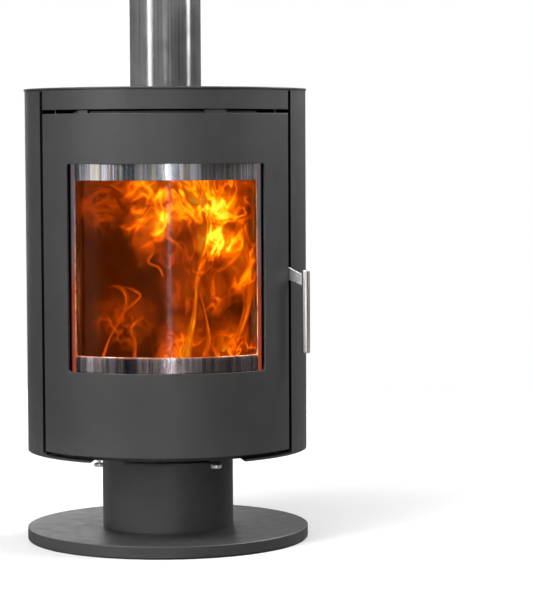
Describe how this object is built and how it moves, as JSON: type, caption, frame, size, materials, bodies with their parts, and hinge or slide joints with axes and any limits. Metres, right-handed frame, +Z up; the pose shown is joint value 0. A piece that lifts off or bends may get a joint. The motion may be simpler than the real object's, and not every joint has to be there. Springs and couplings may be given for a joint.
{
  "type": "wood burning stove",
  "caption": "Round-fronted steel wood stove on a round pedestal, with a curved glazed door, side bar handle, air controls and a top flue pipe.",
  "frame": {"origin": "centre of the round base on the floor", "axes": "+Z up, the door faces -Y, +X to the right seen from the front"},
  "size_m": [0.4899, 0.49, 1.0315],
  "materials": {
    "painted_body": "satin anthracite stove paint",
    "painted_flue": "smooth dark semi-gloss",
    "firebox_steel": "matt black heat-resistant coat",
    "bright_steel": "brushed stainless",
    "polished_trim": "polished stainless",
    "fire_brick": "matt vermiculite board",
    "grate_iron": "raw sooty casting",
    "ceramic_glass": "clear polished",
    "rope_seal": "knitted glass-fibre rope"
  },
  "bodies": {
    "stove": {"base_cover": "painted_body", "base_weight": "painted_body", "pedestal": "painted_body", "bottom_plate": "painted_body", "top_plate": "painted_body", "side_panel_right": "painted_body", "side_panel_left": "painted_body", "rear_panel": "painted_body", "rear_panel_screws": "bright_steel", "upper_fascia": "painted_body", "slot_lug": "painted_body", "firebox_right": "firebox_steel", "firebox_left": "firebox_steel", "firebox_rear": "firebox_steel", "firebox_top": "firebox_steel", "firebox_floor": "firebox_steel", "ash_floor": "firebox_steel", "front_frame": "firebox_steel", "brick_floor": "fire_brick", "brick_right": "fire_brick", "brick_left": "fire_brick", "brick_rear": "fire_brick", "baffle": "fire_brick", "baffle_rail": "firebox_steel", "grate": "grate_iron", "grate_feet": "grate_iron", "ash_pan": "firebox_steel", "log_guard": "firebox_steel", "flue_pipe": "painted_flue", "flue_spigot": "firebox_steel", "hinge_brackets": "firebox_steel", "hinge_pins": "bright_steel", "latch_keeper": "firebox_steel", "air_box": "firebox_steel", "air_slide_pivot": "bright_steel", "airwash_channel": "firebox_steel"},
    "door": {"door_panel": "painted_body", "door_stiffener": "firebox_steel", "door_gasket": "rope_seal", "window_glass": "ceramic_glass", "glass_gasket": "rope_seal", "window_trim": "polished_trim", "trim_screws": "bright_steel", "hinge_knuckles": "firebox_steel", "handle_bracket": "firebox_steel", "handle_pin": "bright_steel"},
    "handle": {"handle_blade": "bright_steel", "handle_bar": "bright_steel"},
    "air_slide": {"air_slide": "firebox_steel", "air_slide_knob": "bright_steel"},
    "primary_air": {"primary_air_rod": "firebox_steel", "primary_air_knob": "bright_steel"},
    "airwash": {"airwash_slide": "painted_body"}
  },
  "joints": [
    {"name": "door_hinge", "type": "hinge", "parent": "stove", "child": "door", "pos_m": [-0.19234, -0.12973, 0.45], "axis": [0, 0, -1], "range_deg": [0, 100]},
    {"name": "handle_lift", "type": "hinge", "parent": "door", "child": "handle", "pos_m": [0.1912, -0.1064, 0.472], "axis": [-0.7071, -0.7071, 0], "range_deg": [0, 35]},
    {"name": "air_slide_turn", "type": "hinge", "parent": "stove", "child": "air_slide", "pos_m": [0, 0, 0.1455], "axis": [0, 0, 1], "range_deg": [-13, 0]},
    {"name": "primary_air_pull", "type": "slide", "parent": "stove", "child": "primary_air", "axis": [-0.2588, -0.9659, 0], "range_m": [0, 0.035]},
    {"name": "airwash_turn", "type": "hinge", "parent": "stove", "child": "airwash", "pos_m": [0, 0, 0.74], "axis": [0, 0, 1], "range_deg": [-35, 0]}
  ]
}
